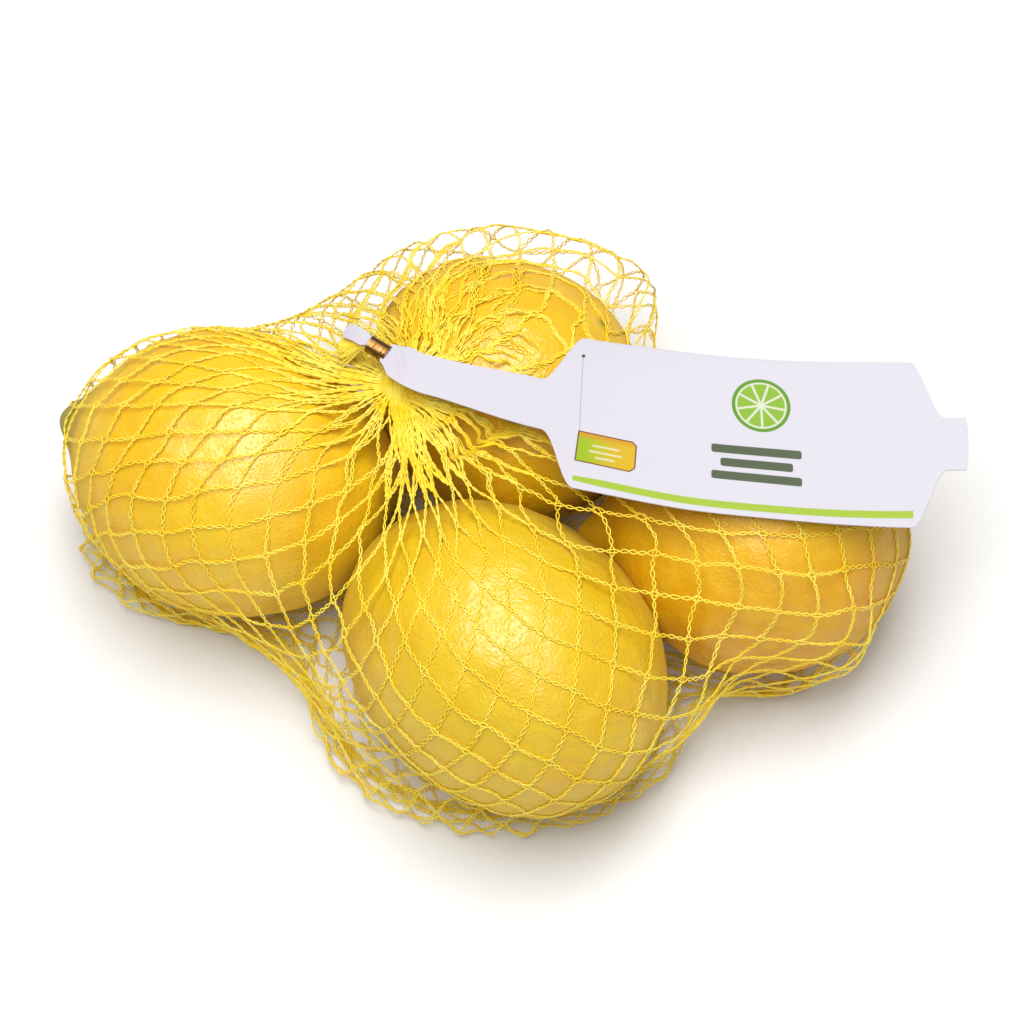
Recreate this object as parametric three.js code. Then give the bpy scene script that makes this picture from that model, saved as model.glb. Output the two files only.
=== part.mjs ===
// A net bag of four lemons lying on its side, closed by a crimped metal clip on
// top and another below, with a plastic band label held in the upper clip.
// Millimetres, +Z up. The origin is the middle of the footprint, on the ground.
import * as THREE from 'three';

// ---- the four lemons inside the bag ----
const NET_LAYER = 0.8;        // net between a lemon and the ground
const LEMONS = [
  { x: -59.9, y: 9.2, length: 71.2, width: 59.6, heading: 160 },
  { x: -1.7, y: -33.1, length: 74.0, width: 59.6, heading: 140 },
  { x: -1.3, y: 29.5, length: 62.0, width: 54.6, heading: 140 },
  { x: 52.6, y: -5.4, length: 60.4, width: 59.0, heading: 24 },
];

// ---- loose folds: where the slack net stands away from the fruit ----
// half sizes along the heading, across it and upwards
const FOLDS = [
  { x: -2, y: 42, z: 22, half: [38, 30, 18], heading: 0 },    // behind the back lemon
  { x: 18, y: 42, z: 25, half: [16, 22, 16], heading: 150 },
  { x: -37, y: 39, z: 18, half: [19, 17, 9], heading: 25 },   // between it and the left one
];
// the net's hem on the ground round each lemon
const HEMS = [
  { x: -66, y: 5, half: [31.5, 21, 12], heading: 0 },
  { x: -2, y: -34.5, half: [42, 30, 13], heading: 0 },
  { x: -1, y: 38, half: [32, 27, 10], heading: 0 },
  { x: 57.5, y: -1.5, half: [29.5, 27, 12], heading: 20 },
];

// ---- the bag's grid and its settling ----
const COLUMNS = 64;           // lines of points from one neck to the other
const FREE_ROWS = 40;         // rows between the upper and the lower neck
const HEART = [-14, 0, 28];   // a point inside, from which the whole skin can be seen
const SHRINK_STEPS = 500;     // settling straight towards the heart
const EVEN_STEPS = 8;         // then evening out along the surface
const LENGTHWISE_PULL = 0.7;  // share of the pull that runs from neck to neck
const INWARD_PULL = 0.12;     // per step, on all but the underside
const LOW_SIDE = -0.15;       // below this slope from the heart it is the underside
const ON_GROUND = 0.2;        // a point this low lies on the ground
const OVER_FRUIT = 1.0;       // how far the bag's surface lies outside a lemon
const LEAST_REACH = 34;       // the first, wide shape: least radius and height
const WIDE_HEIGHT = 66;
const WIDE_ROUNDNESS = 0.6;

// ---- necks: stations from the bag outwards, half sizes across and upwards ----
const UPPER_NECK = [
  { at: [-24.5, 17.6, 53.2], across: 3.6, tall: 3.0 },
  { at: [-24.4, 20.6, 56.6], across: 1.5, tall: 1.3 },
  { at: [-25.5, 22.6, 57.75], across: 1.05, tall: 0.5 },
  { at: [-29.9, 25.4, 57.95], across: 1.05, tall: 0.5 },
  { at: [-31.6, 25.9, 57.2], across: 1.9, tall: 0.9 },
  { at: [-35.0, 26.0, 54.6], across: 4.2, tall: 1.6 },
];
const LOWER_NECK = [
  { at: [-18.5, -2.0, 12.6], across: 4.2, tall: 4.2 },
  { at: [-18.5, -2.0, 10.2], across: 1.1, tall: 0.8 },
  { at: [-18.5, -2.0, 5.4], across: 1.1, tall: 0.8 },
  { at: [-18.5, -2.0, 1.0], across: 3.6, tall: 3.0 },
];

// ---- clips: a metal band closed round the neck ----
const CLIP_LENGTH = 4.6;
const CLIP_WALL = 0.45;
const CLIP_WINDOW = [1.42, 1.2];    // half width and half height of the hole
const CLIP_ROUND = 0.75;
const CLIP_RISE = 0.55;             // the upper clip sits higher, to take the label too

// ---- band label ----
const FILM = 0.4;
// the middle line, from the tail through the clip to the loose end
const LABEL_LINE = [
  [-34.6, 29.2, 57.2], [-32.0, 27.2, 58.6], [-29.9, 25.5, 58.95], [-25.4, 22.5, 58.85],
  [-19.6, 18.8, 58.7], [-12.8, 16.7, 58.4], [-2.5, 13.6, 58.5], [7.4, 10.4, 59.4],
  [18.0, 7.4, 60.6], [36.4, 3.6, 61.4], [50.6, 1.9, 61.8], [65.2, 0.6, 62.3],
  [80.0, -0.3, 63.1], [92.8, -0.6, 64.0],
];
// distance from the tail's end, half width there
const LABEL_WIDTHS = [
  [0, 2.0], [4.0, 1.85], [5.6, 1.0], [11.2, 1.0], [13.8, 4.1], [22, 4.7], [44.5, 5.9],
  [52.6, 17.9], [120.5, 17.9], [127.5, 5.6], [133, 5.6],
];
// turn about the middle line, degrees: the front edge lifts when positive
const LABEL_TURNS = [[0, 0], [14, 4], [50, 5], [90, -1], [133, -8]];
// how far the width leans from square to the middle line, where the film is bent askew
const LABEL_LEANS = [[0, 0], [30, 0], [50, 9], [80, 6], [133, 0]];
const LABEL_STATIONS = 64;
const LABEL_CUTS = 4;         // strips across the width

const finish = (color, roughness, metalness) => (
  new THREE.MeshStandardMaterial({ color, roughness, metalness })
);
const NET_FINISH = finish(0xe9b91c, 0.55, 0);
const METAL_FINISH = finish(0xa9713c, 0.32, 0.95);
const FILM_FINISH = finish(0xf1f0f8, 0.42, 0);

const model = new THREE.Group();

function addPart(name, geometry, material) {
  const part = new THREE.Mesh(geometry, material);
  part.name = name;
  model.add(part);
  return part;
}

// ---- solids that the bag is drawn over ----

// An ellipsoid on the ground plan, with `heading` degrees from +X to its long axis.
function egg(centre, half, heading = 0) {
  const turn = THREE.MathUtils.degToRad(heading);
  return { centre, half, cos: Math.cos(turn), sin: Math.sin(turn) };
}

function lemonEgg({ x, y, length, width, heading }, grow) {
  const radius = width / 2;
  const half = [length / 2 + grow, radius + grow, radius + grow];
  return egg([x, y, radius + NET_LAYER], half, heading);
}

function hemEgg({ x, y, half, heading }) {
  return egg([x, y, 0], half, heading);
}

// Moves a point that is inside the egg straight out to its surface.
function pushOut(point, { centre, half, cos, sin }) {
  const dx = point.x - centre[0];
  const dy = point.y - centre[1];
  const dz = point.z - centre[2];
  const along = dx * cos + dy * sin;
  const aside = dy * cos - dx * sin;
  const depth = Math.hypot(along / half[0], aside / half[1], dz / half[2]);
  if (depth >= 1 || depth === 0) {
    return;
  }
  point.x = centre[0] + dx / depth;
  point.y = centre[1] + dy / depth;
  point.z = centre[2] + dz / depth;
}

// How far the eggs reach from a point in one direction, counting the last surface met.
function reach(from, direction, eggs, least) {
  let farthest = least;
  for (const { centre, half, cos, sin } of eggs) {
    const [dx, dy, dz] = [from.x - centre[0], from.y - centre[1], from.z - centre[2]];
    const start = [(dx * cos + dy * sin) / half[0], (dy * cos - dx * sin) / half[1], dz / half[2]];
    const step = [
      (direction.x * cos + direction.y * sin) / half[0],
      (direction.y * cos - direction.x * sin) / half[1],
      direction.z / half[2],
    ];
    const a = step[0] ** 2 + step[1] ** 2 + step[2] ** 2;
    const b = start[0] * step[0] + start[1] * step[1] + start[2] * step[2];
    const c = start[0] ** 2 + start[1] ** 2 + start[2] ** 2 - 1;
    const root = b * b - a * c;
    if (root > 0) {
      farthest = Math.max(farthest, (Math.sqrt(root) - b) / a);
    }
  }
  return farthest;
}

// ---- necks ----

const UP = new THREE.Vector3(0, 0, 1);

// The two directions square to an axis: one level, the other as near upwards as it goes.
function squareTo(axis) {
  const side = new THREE.Vector3().crossVectors(UP, axis);
  if (side.length() < 0.01) {
    side.set(1, 0, 0);
  }
  side.normalize();
  return { side, top: new THREE.Vector3().crossVectors(axis, side) };
}

// One ring of points for each station; the rings' columns run on without a twist.
function neckRings(stations, firstAxis, firstBasis, angles) {
  const places = stations.map(({ at }) => new THREE.Vector3(...at));
  const axes = places.map((_, i) => {
    const next = places[Math.min(i + 1, places.length - 1)];
    const last = places[Math.max(i - 1, 0)];
    return next.clone().sub(last).normalize();
  });
  let axis = firstAxis.clone();
  const basis = firstBasis.map((vector) => vector.clone());
  return stations.map(({ across, tall }, i) => {
    const turn = new THREE.Quaternion().setFromUnitVectors(axis, axes[i]);
    axis = axes[i];
    basis.forEach((vector) => vector.applyQuaternion(turn));
    const { side, top } = squareTo(axis);
    return angles.map((angle) => {
      const spoke = basis[0].clone().multiplyScalar(Math.cos(angle));
      spoke.addScaledVector(basis[1], Math.sin(angle));
      return places[i].clone()
        .addScaledVector(side, spoke.dot(side) * across)
        .addScaledVector(top, spoke.dot(top) * tall);
    });
  });
}

// ---- the bag ----

const onPlan = (eggs) => eggs.map(({ centre, ...rest }) => ({ ...rest, centre: [centre[0], centre[1], 0] }));
const flatWay = (angle) => new THREE.Vector3(Math.cos(angle), Math.sin(angle), 0);

// Directions for the columns, evenly spaced along the bag's rim seen from above.
function rimAngles(middle, eggs) {
  const fine = 1440;
  const level = onPlan(eggs);
  const places = Array.from({ length: fine + 1 }, (_, i) => {
    const way = flatWay(i / fine * 2 * Math.PI);
    return way.multiplyScalar(reach(middle, way, level, LEAST_REACH));
  });
  const totals = [0];
  for (let i = 1; i <= fine; i += 1) {
    totals.push(totals[i - 1] + Math.min(places[i].distanceTo(places[i - 1]), 1));
  }
  return Array.from({ length: COLUMNS }, (_, column) => {
    const wanted = column / COLUMNS * totals[fine];
    return totals.findIndex((total) => total >= wanted) / fine * 2 * Math.PI;
  });
}

// A first, wide shape for the rows between the necks, outside everything.
function wideRow(row, angles, eggs) {
  const share = (row + 1) / (FREE_ROWS + 1);
  const upper = new THREE.Vector3(...UPPER_NECK[0].at);
  const lower = new THREE.Vector3(...LOWER_NECK[0].at);
  const middle = upper.lerp(lower, share).setZ(0);
  const level = onPlan(eggs);
  const height = WIDE_HEIGHT / 2 * (1 + Math.cos(share * Math.PI));
  return angles.map((angle) => {
    const way = flatWay(angle);
    const far = reach(middle, way, level, LEAST_REACH) * Math.sin(share * Math.PI) ** WIDE_ROUNDNESS;
    return middle.clone().addScaledVector(way, far).setZ(height);
  });
}

// The four neighbours' mean place, with more pull along the columns than round the bag.
function neighbours(rows, row, column, lengthwise, mean) {
  const around = 1 - lengthwise;
  mean.set(0, 0, 0);
  mean.addScaledVector(rows[row - 1][column], lengthwise / 2);
  mean.addScaledVector(rows[row + 1][column], lengthwise / 2);
  mean.addScaledVector(rows[row][(column + COLUMNS - 1) % COLUMNS], around / 2);
  mean.addScaledVector(rows[row][(column + 1) % COLUMNS], around / 2);
  return mean;
}

// Pulls the free rows tight over the eggs: first along lines from the heart, which
// keeps every lemon wrapped, then evenly along the surface.
function settle(rows, firstFree, lastFree, eggs) {
  const heart = new THREE.Vector3(...HEART);
  const mean = new THREE.Vector3();
  const lines = rows.map((row, index) => (index < firstFree || index > lastFree ? null
    : row.map((point) => {
      const way = point.clone().sub(heart).normalize();
      const ground = way.z < 0 ? -heart.z / way.z : Infinity;
      return { way, nearest: reach(heart, way, eggs, 0), farthest: ground };
    })));
  for (let step = 0; step < SHRINK_STEPS + EVEN_STEPS; step += 1) {
    for (let row = firstFree; row <= lastFree; row += 1) {
      for (let column = 0; column < COLUMNS; column += 1) {
        const point = rows[row][column];
        if (step < SHRINK_STEPS) {
          neighbours(rows, row, column, LENGTHWISE_PULL, mean);
          const { way, nearest, farthest } = lines[row][column];
          const wanted = mean.sub(heart).dot(way) - (way.z > LOW_SIDE ? INWARD_PULL : 0);
          point.copy(heart).addScaledVector(way, Math.min(Math.max(wanted, nearest), farthest));
        } else {
          neighbours(rows, row, column, 0.5, mean);
          if (point.z < ON_GROUND) {
            point.copy(mean).setZ(0);
          } else {
            point.copy(mean);
            eggs.forEach((solid) => pushOut(point, solid));
          }
        }
      }
    }
  }
}

// A closed skin over rows of points, with a fan over each end. The rows run from
// the upper neck's end to the lower one's, and each row turns from +X to +Y.
function skin(rows) {
  const ends = [rows[0], rows[rows.length - 1]].map((ring) => {
    const centre = new THREE.Vector3();
    ring.forEach((point) => centre.add(point));
    return centre.divideScalar(ring.length);
  });
  const points = [...rows.flat(), ...ends];
  const width = rows[0].length;
  const faces = [];
  for (let row = 0; row + 1 < rows.length; row += 1) {
    for (let column = 0; column < width; column += 1) {
      const next = (column + 1) % width;
      const a = row * width + column;
      const b = row * width + next;
      const c = a + width;
      const d = b + width;
      const shortFirst = points[a].distanceTo(points[d]) < points[b].distanceTo(points[c]);
      faces.push(...(shortFirst ? [a, c, d, a, d, b] : [a, c, b, b, c, d]));
    }
  }
  const first = points.length - 2;
  const last = (rows.length - 1) * width;
  for (let column = 0; column < width; column += 1) {
    const next = (column + 1) % width;
    faces.push(first, column, next);
    faces.push(first + 1, last + next, last + column);
  }
  return solidGeometry(points, faces);
}

// Faces are lists of point numbers, each turning left as seen from outside.
function solidGeometry(points, faces) {
  const geometry = new THREE.BufferGeometry();
  geometry.setAttribute('position', new THREE.Float32BufferAttribute(
    points.flatMap((point) => point.toArray()),
    3,
  ));
  geometry.setIndex(faces);
  geometry.computeVertexNormals();
  return geometry;
}

function makeBag() {
  const eggs = [
    ...LEMONS.map((lemon) => lemonEgg(lemon, OVER_FRUIT)),
    ...HEMS.map(hemEgg),
    ...FOLDS.map(({ x, y, z, half, heading }) => egg([x, y, z], half, heading)),
  ];
  const angles = rimAngles(new THREE.Vector3(HEART[0], HEART[1], 0), eggs);
  const flat = [new THREE.Vector3(1, 0, 0), new THREE.Vector3(0, 1, 0)];
  const upper = neckRings(UPPER_NECK, UP, flat, angles).reverse();
  const lower = neckRings(LOWER_NECK, UP.clone().negate(), flat, angles);
  const free = Array.from({ length: FREE_ROWS }, (_, row) => wideRow(row, angles, eggs));
  const rows = [...upper, ...free, ...lower];
  settle(rows, upper.length, upper.length + FREE_ROWS - 1, eggs);
  addPart('net_bag', skin(rows), NET_FINISH);
}

// ---- clips ----

function roundedOutline(path, halfWidth, halfHeight, round) {
  path.moveTo(halfWidth, -halfHeight + round);
  path.lineTo(halfWidth, halfHeight - round);
  path.absarc(halfWidth - round, halfHeight - round, round, 0, Math.PI / 2);
  path.absarc(round - halfWidth, halfHeight - round, round, Math.PI / 2, Math.PI);
  path.absarc(round - halfWidth, round - halfHeight, round, Math.PI, Math.PI * 1.5);
  path.absarc(halfWidth - round, round - halfHeight, round, Math.PI * 1.5, Math.PI * 2);
  return path;
}

// A band of metal closed round the neck between two points on its middle line.
function makeClip(name, from, to, rise) {
  const [halfWidth, halfHeight] = CLIP_WINDOW;
  const outline = roundedOutline(
    new THREE.Shape(),
    halfWidth + CLIP_WALL,
    halfHeight + CLIP_WALL,
    CLIP_ROUND + CLIP_WALL,
  );
  outline.holes.push(roundedOutline(new THREE.Path(), halfWidth, halfHeight, CLIP_ROUND));
  const band = new THREE.ExtrudeGeometry(outline, {
    depth: CLIP_LENGTH,
    bevelEnabled: false,
    curveSegments: 5,
  });
  band.translate(0, 0, -CLIP_LENGTH / 2);
  const start = new THREE.Vector3(...from);
  const end = new THREE.Vector3(...to);
  const axis = end.clone().sub(start).normalize();
  const { side, top } = squareTo(axis);
  const clip = addPart(name, band, METAL_FINISH);
  clip.quaternion.setFromRotationMatrix(new THREE.Matrix4().makeBasis(side, top, axis));
  clip.position.copy(start).add(end).multiplyScalar(0.5).addScaledVector(top, rise);
}

// ---- label ----

// Reads a value from a list of [place, value] pairs, easing from one to the next.
function easeThrough(list, place) {
  for (let i = 0; i + 1 < list.length; i += 1) {
    const [from, low] = list[i];
    const [to, high] = list[i + 1];
    if (place <= to) {
      const share = THREE.MathUtils.clamp((place - from) / (to - from), 0, 1);
      const eased = share * share * (3 - 2 * share);
      return low + (high - low) * eased;
    }
  }
  return list[list.length - 1][1];
}

// Stations along the label, closer together where its outline turns.
function labelPlaces(length) {
  const plain = 0.6;
  const extra = 2.2;
  const spread = 4.5;
  const turns = LABEL_WIDTHS.slice(1, -1).map(([place]) => place);
  const weight = (place) => turns.reduce(
    (sum, turn) => sum + extra * Math.exp(-(((place - turn) / spread) ** 2)),
    plain,
  );
  const fine = 1200;
  const totals = [0];
  for (let i = 1; i <= fine; i += 1) {
    totals.push(totals[i - 1] + weight((i - 0.5) / fine * length));
  }
  return Array.from({ length: LABEL_STATIONS + 1 }, (_, station) => {
    const wanted = Math.min(station / LABEL_STATIONS, 1 - Number.EPSILON) * totals[fine];
    return totals.findIndex((total) => total >= wanted) / fine * length;
  });
}

function makeLabel() {
  const line = new THREE.CatmullRomCurve3(LABEL_LINE.map((at) => new THREE.Vector3(...at)));
  line.arcLengthDivisions = 800;
  const length = line.getLength();
  const across = LABEL_CUTS + 1;
  const points = [];
  const places = labelPlaces(length);
  places.forEach((place) => {
    const share = Math.min(place / length, 1);
    const middle = line.getPointAt(share);
    const tangent = line.getTangentAt(share);
    const turn = THREE.MathUtils.degToRad(easeThrough(LABEL_TURNS, place));
    const side = new THREE.Vector3().crossVectors(UP, tangent).normalize();
    side.applyAxisAngle(tangent, -turn);
    side.applyAxisAngle(UP, THREE.MathUtils.degToRad(easeThrough(LABEL_LEANS, place)));
    const top = new THREE.Vector3().crossVectors(tangent, side).normalize();
    const halfWidth = easeThrough(LABEL_WIDTHS, place);
    for (const face of [0.5, -0.5]) {
      for (let cut = 0; cut < across; cut += 1) {
        const reachSide = (cut / LABEL_CUTS * 2 - 1) * halfWidth;
        const point = middle.clone().addScaledVector(side, reachSide);
        points.push(point.addScaledVector(top, face * FILM));
      }
    }
  });
  const ring = 2 * across;
  const faces = [];
  const quad = (a, b, c, d) => faces.push(a, b, c, a, c, d);
  for (let i = 0; i + 1 < places.length; i += 1) {
    const here = i * ring;
    const next = here + ring;
    for (let cut = 0; cut < LABEL_CUTS; cut += 1) {
      quad(here + cut, next + cut, next + cut + 1, here + cut + 1);
      const low = across + cut;
      quad(here + low, here + low + 1, next + low + 1, next + low);
    }
    quad(here, here + across, next + across, next);
    const edge = across - 1;
    quad(here + edge, next + edge, next + edge + across, here + edge + across);
  }
  const end = (places.length - 1) * ring;
  for (let cut = 0; cut < LABEL_CUTS; cut += 1) {
    quad(cut, cut + 1, across + cut + 1, across + cut);
    quad(end + cut, end + across + cut, end + across + cut + 1, end + cut + 1);
  }
  addPart('label', solidGeometry(points, faces), FILM_FINISH);
}

makeBag();
makeClip('clip_upper', UPPER_NECK[2].at, UPPER_NECK[3].at, CLIP_RISE);
makeClip('clip_lower', LOWER_NECK[1].at, LOWER_NECK[2].at, 0);
makeLabel();

// The origin goes to the middle of the footprint, on the ground.
model.updateMatrixWorld(true);
const box = new THREE.Box3().setFromObject(model);
const middle = box.getCenter(new THREE.Vector3());
model.position.set(-middle.x, -middle.y, -box.min.z);

export default model;
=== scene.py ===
"""A net bag of four lemons, closed by a crimped metal clip on top and another below,
with a plastic band label held in the upper clip.

The bag is worked out in millimetres in its own coordinates, and each finished piece is
moved into the frame in metres.
"""

import math

import bmesh
import bpy
import numpy as np
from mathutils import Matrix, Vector
from mathutils.bvhtree import BVHTree


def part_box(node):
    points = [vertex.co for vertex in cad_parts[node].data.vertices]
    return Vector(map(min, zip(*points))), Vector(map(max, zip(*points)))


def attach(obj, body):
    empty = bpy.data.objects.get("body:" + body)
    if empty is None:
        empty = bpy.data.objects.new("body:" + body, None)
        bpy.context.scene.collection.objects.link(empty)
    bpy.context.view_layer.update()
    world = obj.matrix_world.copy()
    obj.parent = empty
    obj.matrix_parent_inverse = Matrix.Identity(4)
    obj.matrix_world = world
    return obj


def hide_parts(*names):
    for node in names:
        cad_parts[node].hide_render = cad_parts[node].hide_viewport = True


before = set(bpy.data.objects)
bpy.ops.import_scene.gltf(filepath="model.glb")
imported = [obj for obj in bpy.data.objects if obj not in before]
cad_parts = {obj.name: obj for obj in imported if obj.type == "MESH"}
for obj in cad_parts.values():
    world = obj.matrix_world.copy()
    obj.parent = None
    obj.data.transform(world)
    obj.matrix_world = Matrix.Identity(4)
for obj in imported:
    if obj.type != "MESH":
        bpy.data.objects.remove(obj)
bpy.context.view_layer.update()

# ---- where the bag lies ----
MM = 0.001
LOWER_CLIP_AT = np.array([-18.5, -2.0, 7.8])    # the lower clip's middle, in the bag's millimetres
_low, _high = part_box("clip_lower")
ORIGIN = np.array((_low + _high) / 2) - LOWER_CLIP_AT * MM

# ---- random draws ----
SEEDS = dict(cells=5, filaments=17, necks=29, wander=61, crumple=64, ripple=71)
SWELLS_PER_LENGTH = (0.7, 1.4)

# ---- lemons ----
NET_LAYER = 0.8             # the net's thickness lies between them and the ground
# x, y: the middle; length, width; heading: where the tip points, in degrees; nipple: how far the tip
# stands out, within the length; beak: how far past it; stem: depth of the dimple at the other end;
# lumps: height of the skin's swells; warm: from lemon yellow to amber; tone: brightness; tinge: olive
# at both ends; wrinkle: depth of the skin's ridges; scars: olive marks, each with its x, y, z and size
LEMONS = {
    "left": dict(x=-59.9, y=9.2, length=73.5, width=59.6, heading=160, nipple=4.0, beak=2.0, stem=0.5,
                 seed=11, lumps=0.55, warm=0.25, tone=1.0, tinge=0.85, wrinkle=0.35),
    "front": dict(x=-1.7, y=-33.1, length=74.0, width=59.6, heading=140, nipple=1.2, stem=0.1,
                  seed=23, lumps=0.40, warm=0.0, tone=0.88, tinge=0.0, wrinkle=1.0),
    "back": dict(x=-0.7, y=29.0, length=63.5, width=54.6, heading=-40, nipple=1.6, stem=0.7,
                 seed=37, lumps=0.40, warm=0.55, tone=1.0, tinge=1.0, wrinkle=1.0,
                 scars=[(19.4, 36.5, 46.1, 1.3)]),
    "right": dict(x=51.5, y=-5.4, length=63.4, width=59.0, heading=181, nipple=1.8, beak=6.0, stem=0.6,
                  seed=41, lumps=0.50, warm=1.0, tone=0.95, tinge=0.3, wrinkle=0.6),
}
NIPPLE_SPREAD = 0.15        # radians round the tip
NIPPLE_SHARE = 0.72         # of the tip's height; the rest is its wide shoulder
SHOULDER_SPREAD = 0.42
DIMPLE_SPREAD = 0.13
DIMPLE_RING = 2.2           # how much wider the swelling round the dimple is
DIMPLE_DEPTH = 1.6
SWELLS = [(34, 10), (13, 14), (4.5, 20)]        # the skin's unevenness: lengths and counts
FINE_SWELLS = (0.16, 0.05)  # heights of the last two; the first is the lemon's lumps
STEM_CALM = dict(spread=0.2, share=0.6)         # the skin is smoother round the stem
SKIN_SUBDIVISIONS = 7
OLIVE_TIP = (1.2, 0.25)     # strength and spread in radians
OLIVE_STEM = (1.1, 0.27)
OLIVE_ROUND_STEM = (0.10, 0.5)
OLIVE_EDGE = (0.35, 0.35)   # its ragged edge: depth and length
STALK = dict(radius=2.1, points=40, lobes=5, lobe_depth=0.16, skirt=1.2, sunk=0.1)
STALK_STEPS = [(0.5, 0.6), (0.45, 0.4), (0.3, -0.35)]           # inwards and upwards
LEAST_STEM = 0.3            # a lemon with a shallower dimple shows no stalk

# ---- net ----
STRANDS = 47                # lines of mesh each way round the bag
NET_PIECES = 5
ROWS = 38                   # crossings from the upper neck to the lower one
CELL = 8.3                  # one side of a cell, stretched straight
CELL_SPREAD = 0.035
WIDEST = 0.93               # half a cell's width at most, and its height, as shares of its side
TALLEST = 0.985
PATH_STEPS = 150            # points along each line from neck to neck
PATH_TOP = 33.0             # half the height that the lines fall through
PATH_FLARE = 0.6            # how fast they spread from the necks
RIM_STEPS = 1440
RIM_LEAST = 34.0            # the rim's least distance from the heart
RIM_HEIGHTS = (2.0, 12.0, 22.0, 32.0)
RIM_LONGEST_STEP = 1.6      # a jump between folds counts as no more than this
HEM = dict(height=3.0, past=8.0)                # the slack net starts this far past where a path lands
HEART = np.array([-14.0, 0.0, 28.0])            # a point inside, from which the whole bag is seen
UPPER_RING = dict(at=(-24.5, 17.6, 53.6), radius=2.6, dip=0.65)
LOWER_RING = dict(at=(-18.5, -2.0, 11.8), radius=2.3, dip=0.0)
DIP_ANGLE = -1.0            # radians; a ring lies lowest there
GATHER = dict(angle=-73, share=0.88, columns=12, reach=(7, 35))    # a fold of many strands near the neck
SETTLE_STEPS = 200
LOOSE_SHARE = 0.015         # how hard a slack side pushes back
SMOOTHING = 0.003
LOW_SMOOTHING = dict(share=0.22, below=11.0)     # the hem on the ground lies evener
SINK = 0.006                # fall at each step
TO_SURFACE = 0.75           # share of the way back to the bag's surface, while it settles
FINE_TO_SURFACE = 0.9       # and for the strands between the crossings
SURFACE_EVERY = 2
NECK_FREE = (5.0, 11.0)     # nearer a neck than this the surface doesn't hold the net
NECK_GAP = 5.5              # nearer a neck than this a path leaves the surface
FINE_STEPS = 12             # points along one side of a cell
FINE_SMOOTHINGS = 3
# extra layers of net by the upper neck: their sector seen from it, how many rows they
# run, how many follow each strand, and how far they stand aside and up
FOLDS = [
    dict(angle=-70, half=23, rows=(2, 4), copies=4, aside=1.5, lift=0.8),
    dict(angle=-30, half=20, rows=(2, 6), copies=1, aside=1.2, lift=0.4),
    dict(angle=-115, half=22, rows=(2, 4), copies=1, aside=1.0, lift=0.5),
    dict(angle=180, half=42, rows=(3, 5), copies=1, aside=0.8, lift=0.4),
    dict(angle=130, half=34, rows=(2, 5), copies=2, aside=2.0, lift=1.5),
    dict(angle=60, half=55, rows=(4, 8), copies=2, aside=2.4, lift=0.5),
]
FOLD_ROW = 3                # the row that is looked at for a strand's sector
FOLD_FULLNESS = 0.7         # below 1, a fold swells out early
FOLD_RISE = (0.3, 1)        # its copies take this share of its lift
# seen from the heart, where the net is drawn in between the fruit, or let out if the share is below 0
TUCKS = [
    dict(azimuth=38, spread=11, share=0.14),
    dict(azimuth=-31, spread=8, share=0.07),
    dict(azimuth=-23, spread=5.5, share=-0.08),
]
# slack net on the back lemon
CRUMPLE = dict(at=(2.0, 26.0, 52.0), spread=24.0, depth=0.9, length=6.0)
FILAMENT_RADIUS = 0.145
CLIPPED_RADIUS = 0.075      # where the filaments are squeezed flat in a clip
LOOPS_PER_SIDE = 2.0
LOOP_HALF_WIDTH = 0.36
KNOT_HALF_WIDTH = 0.54
KNOT_SPREAD = (0.55, 1.2)   # knots are uneven
KNOT_REACH = 1.15
LOOP_SPREAD = (0.75, 1.25)  # and so are the loops between them
LOOP_TWIST = 0.15
FAMILY_LIFT = 0.10          # strands of one family pass over the other's
OPEN_CELL = 7.5             # width of a cell in which its sides lie open
CLOSED_CELL = 0.12          # the least share of it
CLOSED_SHARE = 0.25         # a strand's width where the mesh is drawn shut
WANDER = dict(length=7.0, depth=0.16)
BOW = dict(share=0.22, most=1.0)                # how far a slack side bows aside
ON_SKIN = 0.24              # the net's middle above the lemon's skin
STRAND_CLEAR = ON_SKIN + 0.05                   # a strand's middle line stays at least this far above it
FILAMENT_CLEAR = ON_SKIN - 0.03                 # and a single filament's
OVER_FRUIT = 1.0            # how far the CAD bag's surface lies outside a lemon
NEAR_SKIN = 4.0             # past that, over this distance, a strand is still drawn down to the fruit
ON_GROUND = 0.32

# ---- necks: stations outwards from the bag, half sizes across and upwards ----
UPPER_NECK = [
    dict(at=(-24.4, 20.6, 56.6), across=1.5, tall=1.3),
    dict(at=(-25.5, 22.6, 57.75), across=1.05, tall=0.5),
    dict(at=(-29.9, 25.4, 57.95), across=1.05, tall=0.5),
    dict(at=(-31.6, 25.9, 57.2), across=1.9, tall=0.9),
    dict(at=(-35.0, 26.0, 54.6), across=4.0, tall=1.6),
]
LOWER_NECK = [
    dict(at=(-18.5, -2.0, 10.2), across=1.1, tall=0.8),
    dict(at=(-18.5, -2.0, 5.4), across=1.1, tall=0.8),
    dict(at=(-18.5, -2.0, 1.2), across=3.4, tall=2.8),
]
NECK_FINE_STEPS = 5         # points from one station to the next
NECK_SWIRL = 0.25           # radians by which a filament strays round the neck
NECK_FILL = (0.1, 1.0)      # filaments fill the neck from near its middle to its edge
FULL_NECK = 2.6             # half size at which the filaments are round
TALL_COUNTS = 1.6           # a neck's half height counts this much against its half width
TUFT_ENDS = (-0.35, 0.1)    # shares of the last stretch by which they end short or long

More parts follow.
